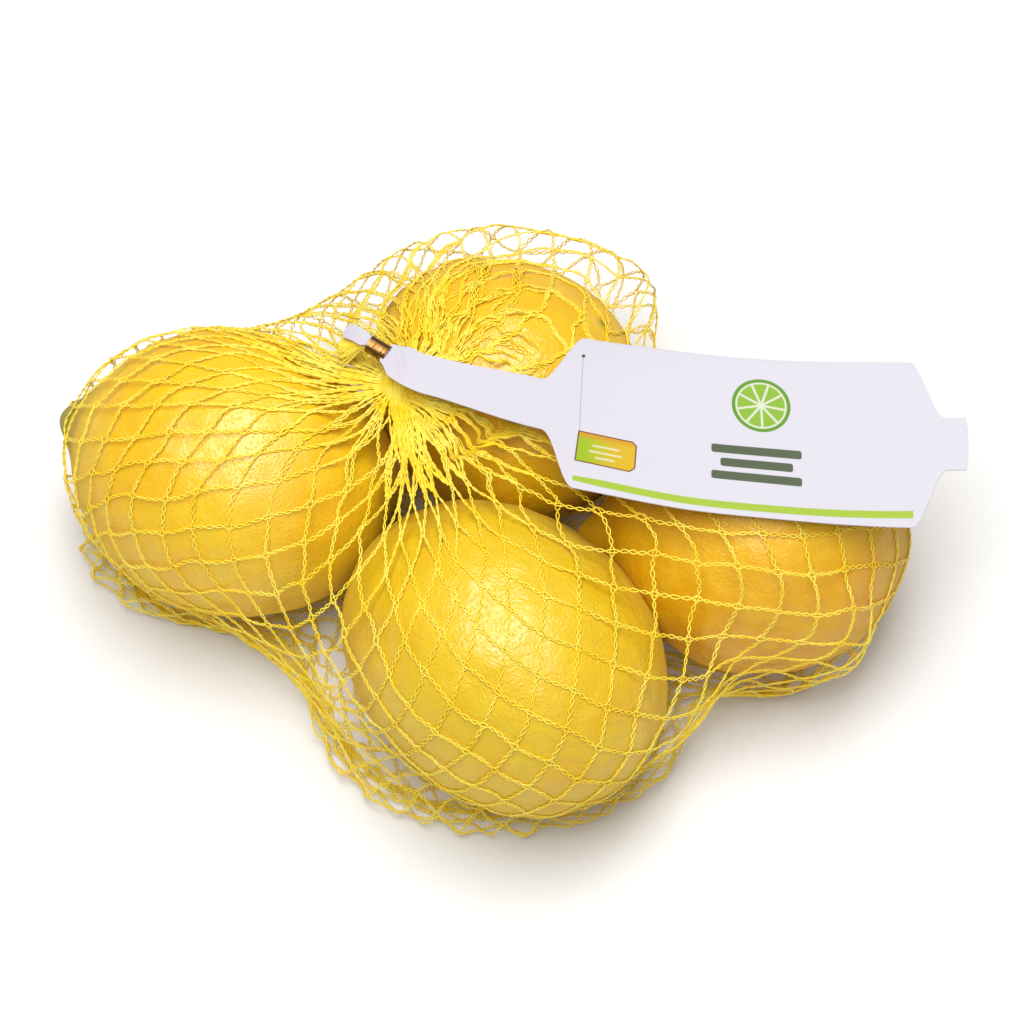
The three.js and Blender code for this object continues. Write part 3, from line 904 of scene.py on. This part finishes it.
def first_net(bag):
    """Crossings on the bag's surface, drawn taut from the upper neck, with the slack below."""
    angles, paths, spans = neck_paths(bag)
    columns = np.arange(2 * STRANDS)
    landed = np.array([np.argmax(path[:, 2] < HEM["height"]) for path in paths])
    hem_place = landed / (PATH_STEPS - 1) * spans
    places = np.zeros((ROWS + 1, 2 * STRANDS))
    for row in range(ROWS):
        here = places[row]
        right = on_paths(paths, spans, columns + 1.0, np.roll(here, -1))
        left = on_paths(paths, spans, columns - 1.0, np.roll(here, 1))
        half = np.minimum(np.linalg.norm(right - left, axis=-1) / 2, WIDEST * CELL)
        rise = TALLEST * np.sqrt(CELL ** 2 - half ** 2)
        places[row + 1] = (np.roll(here, -1) + np.roll(here, 1)) / 2 + rise
    end = places[-1]
    slack = end > spans
    keep = hem_place + HEM["past"]
    low = keep + (places - keep) * (spans - keep) / np.maximum(end - keep, 1)
    places = np.where(slack, np.where(places > keep, low, places), places * spans / end)
    fold = np.interp(GATHER["angle"] % 360, np.degrees(angles), columns)
    offset = (columns - fold + STRANDS) % (2 * STRANDS) - STRANDS
    near, far = GATHER["reach"]
    hold = 1 - np.clip((places - near) / (far - near), 0, 1)
    hold = hold * hold * (3 - 2 * hold)
    shift = -GATHER["share"] * hold * offset * bell(offset, GATHER["columns"])
    net = on_paths(paths, spans, np.broadcast_to(columns, places.shape) + shift, places)
    return np.stack([net[row, row % 2::2] for row in range(ROWS + 1)])


def next_crossings(net, row, family):
    """The crossings one row on, along strands of one family, lined up with this row's."""
    shift = row % 2 - family
    return np.roll(net[row + 1], -shift, axis=0)


def last_crossings(net, row, family):
    shift = (row - 1) % 2 - family
    return np.roll(net[row - 1], shift, axis=0)


def pull_sides(net, lengths):
    """Draws the two ends of each side of a cell to its length; a slack side hardly resists."""
    for parity in (0, 1):
        rows = np.arange(parity, ROWS, 2)
        for family in (0, 1):
            shift = parity - family
            here = net[rows]
            there = np.roll(net[rows + 1], -shift, axis=1)
            apart = there - here
            distance = np.linalg.norm(apart, axis=-1, keepdims=True)
            wanted = lengths[family][rows][..., None]
            share = np.where(distance > wanted, 0.5, 0.5 * LOOSE_SHARE)
            move = apart * share * (distance - wanted) / np.maximum(distance, 1e-6)
            net[rows] = here + move
            net[rows + 1] = np.roll(there - move, shift, axis=1)


def settle_net(bag):
    """Lets the net's crossings settle over the lemons and the slack folds."""
    net = first_net(bag)
    draws = np.random.default_rng(SEEDS["cells"])
    lengths = CELL * (1 + draws.normal(0, CELL_SPREAD, (2, ROWS, STRANDS)))
    ends = (net[0].copy(), net[-1].copy())
    for step in range(SETTLE_STEPS):
        pull_sides(net, lengths)
        means = np.zeros_like(net)
        for row in range(1, ROWS):
            for family in (0, 1):
                means[row] += (next_crossings(net, row, family) + last_crossings(net, row, family)) / 4
        low = np.clip(1 - net[1:-1, :, 2:] / LOW_SMOOTHING["below"], 0, 1)
        net[1:-1] += (SMOOTHING + LOW_SMOOTHING["share"] * low) * (means[1:-1] - net[1:-1])
        net[1:-1, :, 2] -= SINK
        if step % SURFACE_EVERY == 0:
            net[1:-1] = clear_of_lemons(onto_bag(bag, net[1:-1], TO_SURFACE), ON_SKIN)
        net[1:-1, :, 2] = np.maximum(net[1:-1, :, 2], ON_GROUND)
        net[0] = ends[0]
        net[-1] = ends[1]
    return net, lengths


# ---- net: its filaments ----

def strand_numbers(family, strand):
    """Which crossing of each row a strand passes through."""
    rows = np.arange(ROWS + 1)
    return (strand + rows // 2) % STRANDS if family == 0 else (strand - (rows + 1) // 2) % STRANDS


def spread_smooth(values):
    """Catmull-Rom through each strand's crossings, FINE_STEPS to a side."""
    before = np.concatenate((values[:, :1], values[:, :-1]), 1)[:, :-1, None]
    here = values[:, :-1, None]
    there = values[:, 1:, None]
    after = np.concatenate((values[:, 1:], values[:, -1:]), 1)[:, 1:, None]
    t = (np.arange(FINE_STEPS) / FINE_STEPS)[:, None]
    found = here + 0.5 * t * (there - before) + t * t * (before - 2.5 * here + 2 * there - 0.5 * after)
    found += t ** 3 * (-0.5 * before + 1.5 * here - 1.5 * there + 0.5 * after)
    found = found.reshape(len(values), -1, values.shape[-1])
    return np.concatenate((found, values[:, -1:]), 1)


def strand_lines(net, lengths):
    """Of all strands: middle lines, outward normals, how open the mesh is, and how slack each side."""
    down = [np.zeros_like(net), np.zeros_like(net)]
    for row in range(1, ROWS):
        for family in (0, 1):
            down[family][row] = next_crossings(net, row, family) - last_crossings(net, row, family)
    outward = np.cross(down[1], down[0])
    outward[0] = outward[1]
    outward[-1] = outward[-2]
    outward = unit(outward + 1e-9)
    width = np.linalg.norm(net - np.roll(net, 1, axis=1), axis=-1)
    openness = np.clip(width / OPEN_CELL, CLOSED_CELL, 1)
    slack = np.zeros((2, ROWS, STRANDS))
    for row in range(ROWS):
        for family in (0, 1):
            distance = np.linalg.norm(next_crossings(net, row, family) - net[row], axis=-1)
            slack[family, row] = np.sqrt(np.maximum(lengths[family][row] ** 2 - distance ** 2, 0))
    rows = np.arange(ROWS + 1)
    lines, normals, open_here, bows = [], [], [], []
    for family in (0, 1):
        for strand in range(STRANDS):
            number = strand_numbers(family, strand)
            lines.append(net[rows, number])
            normals.append(outward[rows, number])
            open_here.append(openness[rows, number])
            bows.append(slack[family][rows[:-1], number[:-1]])
    return np.array(lines), np.array(normals), np.array(open_here), np.array(bows)


def doubled_strands(middle, aside, outward, draws):
    """Extra layers of net in the folds: which strand each follows, how far it runs, and its line."""
    away = middle[:, FOLD_ROW * FINE_STEPS] - np.array(UPPER_RING["at"])
    angles = np.degrees(np.arctan2(away[:, 1], away[:, 0]))
    followed, ends, lines = [], [], []
    for fold in FOLDS:
        off = np.abs((angles - fold["angle"] + 180) % 360 - 180)
        for strand in np.repeat(np.nonzero(off < fold["half"])[0], fold["copies"]):
            end = int(draws.integers(*fold["rows"])) * FINE_STEPS
            run = np.clip(np.arange(middle.shape[1]) / end, 0, 1)
            swell = np.sin(run * math.pi) ** FOLD_FULLNESS
            shift = aside[strand] * (draws.uniform(-1, 1) * fold["aside"] * swell)[:, None]
            rise = draws.uniform(*FOLD_RISE) * fold["lift"] * swell
            shift = shift + outward[strand] * rise[:, None]
            followed.append(strand)
            ends.append(end)
            lines.append(middle[strand] + shift)
    return np.array(followed), ends, np.array(lines)


def make_filament_lines(bag, net, lengths):
    """The twisted pair of filaments of each strand: their lines, and which of them reach the lower neck."""
    draws = np.random.default_rng(SEEDS["filaments"])
    lines, normals, openness, bows = strand_lines(net, lengths)
    middle = onto_bag(bag, spread_smooth(lines), FINE_TO_SURFACE)
    for _ in range(FINE_SMOOTHINGS):
        middle[:, 1:-1] = middle[:, 1:-1] / 2 + (middle[:, :-2] + middle[:, 2:]) / 4
    outward = unit(spread_smooth(normals))
    open_here = spread_smooth(openness[..., None])[..., 0]
    aside = unit(np.cross(outward, unit(np.gradient(middle, axis=1))))
    followed, ends, extra = doubled_strands(middle, aside, outward, draws)
    every = np.concatenate((np.arange(len(lines)), followed))
    ends = [middle.shape[1]] * len(lines) + ends
    count = len(every)
    middle = np.concatenate((middle, extra))
    outward, aside, open_here = outward[every], aside[every], open_here[every]
    side_share = np.tile(np.arange(FINE_STEPS) / FINE_STEPS, ROWS)
    slack = np.minimum(bows[every] * BOW["share"], BOW["most"])
    bow = np.repeat(slack * draws.uniform(-1, 1, slack.shape), FINE_STEPS, axis=1)
    bow = np.concatenate((bow * np.sin(side_share * math.pi), np.zeros((count, 1))), 1)
    middle = middle + aside * bow[..., None]
    crumple = bell(np.linalg.norm(middle - np.array(CRUMPLE["at"]), axis=-1), CRUMPLE["spread"])
    for spec, where, seed in ((WANDER, open_here, SEEDS["wander"]), (CRUMPLE, crumple, SEEDS["crumple"])):
        stray = np.stack([waves(middle, spec["length"], seed + axis) for axis in range(3)], -1)
        middle = middle + stray * (spec["depth"] * where)[..., None]
    middle = clear_of_lemons(down_to_lemons(middle), STRAND_CLEAR)
    share = np.concatenate((side_share, [0.0]))
    knot = bell(np.minimum(share, 1 - share) * CELL, KNOT_REACH)
    size = np.repeat(draws.uniform(*LOOP_SPREAD, (count, ROWS)), FINE_STEPS, axis=1)
    size = np.concatenate((size, size[:, -1:]), 1)
    loops = np.cos(2 * math.pi * LOOPS_PER_SIDE * share)
    twist = np.sin(2 * math.pi * LOOPS_PER_SIDE * share)
    knots = draws.uniform(*KNOT_SPREAD, (count, ROWS + 1))
    nearest = np.round(np.arange(len(share)) / FINE_STEPS).astype(int)
    width = knot * KNOT_HALF_WIDTH * knots[:, nearest] + (1 - knot) * LOOP_HALF_WIDTH * loops * size
    width = width * (CLOSED_SHARE + (1 - CLOSED_SHARE) * open_here)
    family_lift = np.where(every < STRANDS, FAMILY_LIFT, -FAMILY_LIFT)[:, None]
    found = []
    for sign in (1, -1):
        lift = (1 - knot) * LOOP_TWIST * twist * sign + knot * family_lift
        points = middle + aside * (sign * width)[..., None] + outward * lift[..., None]
        points = clear_of_lemons(points, FILAMENT_CLEAR)
        points[..., 2] = np.maximum(points[..., 2], FILAMENT_RADIUS)
        found += [(line[:end], end == middle.shape[1]) for line, end in zip(points, ends)]
    return found


def neck_stations(stations, ring_spec):
    """For each station of a neck: its middle, its two square directions and the turned plan basis."""
    places = [np.array(ring_spec["at"], float)] + [np.array(s["at"], float) for s in stations]
    axes = [unit(places[min(i + 1, len(places) - 1)] - places[max(i - 1, 0)]) for i in range(len(places))]
    start = Vector((0, 0, 1 if places[1][2] > places[0][2] else -1))
    basis = [Vector((1, 0, 0)), Vector((0, 1, 0))]
    found = []
    for index, axis in enumerate(axes):
        turn = start.rotation_difference(Vector(axis))
        start = Vector(axis)
        for vector in basis:
            vector.rotate(turn)
        found.append((places[index], *square_to(axis), [np.array(vector) for vector in basis]))
    return found[1:]


def neck_lines(stations, ring_spec, first_points, draws):
    """From each filament's first point out through the neck, as lists of points with their radii."""
    frames = neck_stations(stations, ring_spec)
    centre = np.array(ring_spec["at"], float)
    found = []
    for first in first_points:
        away = first - centre
        angle = math.atan2(away[1], away[0]) + draws.uniform(-NECK_SWIRL, NECK_SWIRL)
        fill = math.sqrt(draws.uniform(*NECK_FILL))
        points = [first]
        radii = [FILAMENT_RADIUS]
        for station, (middle, side, top, basis) in zip(stations, frames):
            across, tall = station["across"], station["tall"]
            spoke = basis[0] * math.cos(angle) + basis[1] * math.sin(angle)
            reach = side * spoke.dot(side) * across + top * spoke.dot(top) * tall
            points.append(middle + reach * fill)
            squeeze = min(across, tall * TALL_COUNTS) / FULL_NECK
            radii.append(max(CLIPPED_RADIUS, min(FILAMENT_RADIUS, FILAMENT_RADIUS * squeeze)))
        points[-1] = points[-1] + (points[-1] - points[-2]) * draws.uniform(*TUFT_ENDS)
        line = smooth_line(points, NECK_FINE_STEPS)
        places = np.linspace(0, len(radii) - 1, len(line))
        found.append((line, np.interp(places, np.arange(len(radii)), radii)))
    return found


def tubes(name, lines, radii, material):
    """One mesh of thin tubes along lines of points."""
    curve = bpy.data.curves.new(name, "CURVE")
    curve.dimensions = "3D"
    curve.bevel_depth = FILAMENT_RADIUS * MM
    curve.bevel_resolution = 0
    curve.use_fill_caps = True
    for line, radius in zip(lines, radii):
        spline = curve.splines.new("POLY")
        spline.points.add(len(line) - 1)
        places = np.ones((len(line), 4))
        places[:, :3] = line * MM + ORIGIN
        spline.points.foreach_set("co", places.ravel())
        spline.points.foreach_set("radius", radius / FILAMENT_RADIUS)
    maker = bpy.data.objects.new(name + "_line", curve)
    bpy.context.scene.collection.objects.link(maker)
    finished = maker.evaluated_get(bpy.context.evaluated_depsgraph_get())
    mesh = bpy.data.meshes.new_from_object(finished)
    mesh.name = name
    bpy.data.objects.remove(maker)
    bpy.data.curves.remove(curve)
    mesh.shade_smooth()
    add_piece(name, mesh, material, "net_and_fruit", ["net_bag"])


def make_net(material):
    bag = bag_surface()
    net, lengths = settle_net(bag)
    filaments = make_filament_lines(bag, net, lengths)
    draws = np.random.default_rng(SEEDS["necks"])
    upper = neck_lines(UPPER_NECK, UPPER_RING, [line[0] for line, _ in filaments], draws)
    lower = neck_lines(LOWER_NECK, LOWER_RING, [line[-1] for line, _ in filaments], draws)
    lines, radii = [], []
    for (line, whole), (up, up_radii), (low, low_radii) in zip(filaments, upper, lower):
        rest = (low[1:], low_radii[1:]) if whole else (low[:0], low_radii[:0])
        lines.append(np.concatenate((up[:0:-1], line, rest[0])))
        radii.append(np.concatenate((up_radii[:0:-1], np.full(len(line), FILAMENT_RADIUS), rest[1])))
    for piece in range(NET_PIECES):
        tubes(f"net_strands_{piece + 1}", lines[piece::NET_PIECES], radii[piece::NET_PIECES], material)


# ---- band label ----

def turned(vectors, axes, angles):
    """Vectors turned about unit axes."""
    cos = np.cos(angles)[..., None]
    sin = np.sin(angles)[..., None]
    along = (vectors * axes).sum(-1, keepdims=True)
    return vectors * cos + np.cross(axes, vectors) * sin + axes * along * (1 - cos)


def label_frames(line, total, distances):
    """Middle points, directions across and outward normals of the label at distances from its tail."""
    def at(places):
        return np.stack([np.interp(places, total, line[:, axis]) for axis in range(3)], -1)

    half_step = 0.5
    middle = at(distances)
    forward = unit(at(distances + half_step) - at(distances - half_step))
    up = np.broadcast_to([0.0, 0.0, 1.0], forward.shape)
    side = unit(np.cross(up, forward))
    side = turned(side, forward, -np.radians(ease_through(LABEL_TURNS, distances)))
    side = turned(side, up, np.radians(ease_through(LABEL_LEANS, distances)))
    return middle, side, unit(np.cross(forward, side))


def make_label(material):
    """The film strip: tail, pinched neck in the clip, strap, printed panel and end tab."""
    line = smooth_line(LABEL_LINE, LABEL_FINE_STEPS)
    total = distances_along(line)
    length = total[-1]
    mesh = grid_of("label_strip", *LABEL_STEPS)
    spots = points_of(mesh)
    along = (spots[:, 0] + 0.5) * length
    share = spots[:, 1] * 2
    skew = SHOULDER["skew"] * (share - 1) * bell(along - SHOULDER["at"], SHOULDER["spread"])
    half = ease_through(LABEL_WIDTHS, along + skew)
    near_end, far_end = (bell(gap, SOFT_ENDS["spread"]) for gap in (along, length - along))
    ends = near_end - SOFT_ENDS["far_share"] * far_end
    along = along + SOFT_ENDS["depth"] * np.abs(share) ** 3 * ends
    middle, side, top = label_frames(line, total, along)
    across = share * half
    past_pleat = along - PLEAT["at"]
    pleat = PLEAT["height"] * bell(across + PLEAT["slant"] * past_pleat, PLEAT["half"])
    pleat = pleat * bell(past_pleat, PLEAT["reach"])
    cup = -CUP["depth"] * (share ** 2) * bell(along - CUP["at"], CUP["reach"])
    flat = np.stack([along, across, along * 0], -1)
    swell = waves(flat, RIPPLE["length"], SEEDS["ripple"], RIPPLE["count"])
    swell = RIPPLE["height"] * swell * np.clip((along - RIPPLE["clear"]) / RIPPLE["rise"], 0, 1)
    lift = pleat + cup + swell * (RIPPLE["middle"] + (1 - RIPPLE["middle"]) * np.abs(share))
    set_points(mesh, middle + side * across[:, None] + top * lift[:, None])
    set_map(mesh, np.stack([along / PRINT_SPAN[0], 0.5 + across / PRINT_SPAN[1]], -1))
    piece = add_piece("label_strip", mesh, material, "label_film", ["label"])
    thicken(piece, FILM, rounding=0.1, steps=2, sharpness=30)


# ---- clips ----

def make_clip(name, start, end, rise, material):
    """A band of metal pressed round the neck: flared ends, two crimped grooves and a seam below."""
    start, end = np.array(start, float), np.array(end, float)
    axis = unit(end - start)
    side, top = square_to(axis)
    centre = (start + end) / 2 + top * rise
    mesh = grid_of("band_" + name, *CLIP_STEPS)
    spots = points_of(mesh)
    angle = spots[:, 0] * 2 * math.pi - math.pi / 2
    along = spots[:, 1] * 2
    cos, sin = np.cos(angle), np.sin(angle)
    reach = (np.abs(cos) ** CLIP_SQUARENESS + np.abs(sin) ** CLIP_SQUARENESS) ** (-1 / CLIP_SQUARENESS)
    spread = CLIP_GROOVES["spread"]
    groove = bell(along - CLIP_GROOVES["at"], spread) + bell(along + CLIP_GROOVES["at"], spread)
    flare = bell(np.abs(along) - 1, CLIP_FLARE["spread"])
    scale = CLIP_WAIST - CLIP_GROOVES["depth"] * groove + CLIP_FLARE["height"] * flare
    from_seam = math.pi - np.abs(np.abs(angle + math.pi / 2) - math.pi)
    out = reach * (scale - CLIP_SEAM["depth"] * bell(from_seam, CLIP_SEAM["spread"]))
    wide = (CLIP_HALF[0] - CLIP_WALL / 2) * cos * out
    tall = (CLIP_HALF[1] - CLIP_WALL / 2) * sin * out
    outline = side * wide[:, None] + top * tall[:, None]
    set_points(mesh, centre + outline + axis * (along * CLIP_LENGTH / 2)[:, None])
    set_map(mesh, spots[:, :2] + 0.5)
    closed = bmesh.new()
    closed.from_mesh(mesh)
    bmesh.ops.remove_doubles(closed, verts=closed.verts[:], dist=0.001 * MM)
    bmesh.ops.recalc_face_normals(closed, faces=closed.faces[:])
    closed.to_mesh(mesh)
    closed.free()
    mesh.shade_smooth()
    piece = add_piece("band_" + name, mesh, material, "clip_metal", ["clip_" + name])
    thicken(piece, CLIP_WALL, rounding=0.12, steps=3, sharpness=60)


# ---- floor, light and camera ----

def make_floor():
    shape = bmesh.new()
    bmesh.ops.create_grid(shape, x_segments=8, y_segments=8, size=FLOOR_HALF)
    floor = add_piece("floor", mesh_of(shape, "floor"), floor_paint())


def aimed(name, data, place, target):
    """An object for a light or a camera, turned towards its target."""
    made = bpy.data.objects.new(name, data)
    made.location = place
    made.rotation_euler = (Vector(target) - Vector(place)).to_track_quat("-Z", "Y").to_euler()
    bpy.context.scene.collection.objects.link(made)
    return made


def light_scene():
    for name, (place, wide, deep, power) in LIGHTS.items():
        data = bpy.data.lights.new(name, "AREA")
        data.shape = "RECTANGLE"
        data.size = wide
        data.size_y = deep
        data.energy = power
        aimed(name, data, place, ORIGIN + LOOK_AT * MM)
    world = bpy.data.worlds.new("studio")
    world.use_nodes = True
    sky = world.node_tree.nodes["Background"].inputs
    sky["Color"].default_value = (1.0, 1.0, 1.0, 1.0)
    sky["Strength"].default_value = SKY
    bpy.context.scene.world = world
    bpy.context.scene.view_settings.view_transform = "Standard"


def make_camera():
    """Above and in front, as far off as a short telephoto view needs."""
    elevation = math.radians(CAMERA["elevation"])
    target = Vector(ORIGIN + LOOK_AT * MM)
    back = Vector((0, -math.cos(elevation), math.sin(elevation)))
    data = bpy.data.cameras.new("camera")
    data.sensor_width = CAMERA["sensor"]
    data.lens = CAMERA["sensor"] * CAMERA["distance"] / CAMERA["frame_width"]
    camera = aimed("camera", data, target + back * CAMERA["distance"], target)
    bpy.context.scene.camera = camera


make_camera()
bark = stem_bark()
for lemon_name, lemon_spec in LEMONS.items():
    make_lemon(lemon_name, lemon_spec)
    if lemon_spec["stem"] > LEAST_STEM:
        make_stem(lemon_name, lemon_spec, bark)
make_net(net_plastic())
make_label(label_film())
metal = copper()
make_clip("upper", UPPER_NECK[1]["at"], UPPER_NECK[2]["at"], CLIP_RISE, metal)
make_clip("lower", LOWER_NECK[0]["at"], LOWER_NECK[1]["at"], 0, metal)
make_floor()
light_scene()
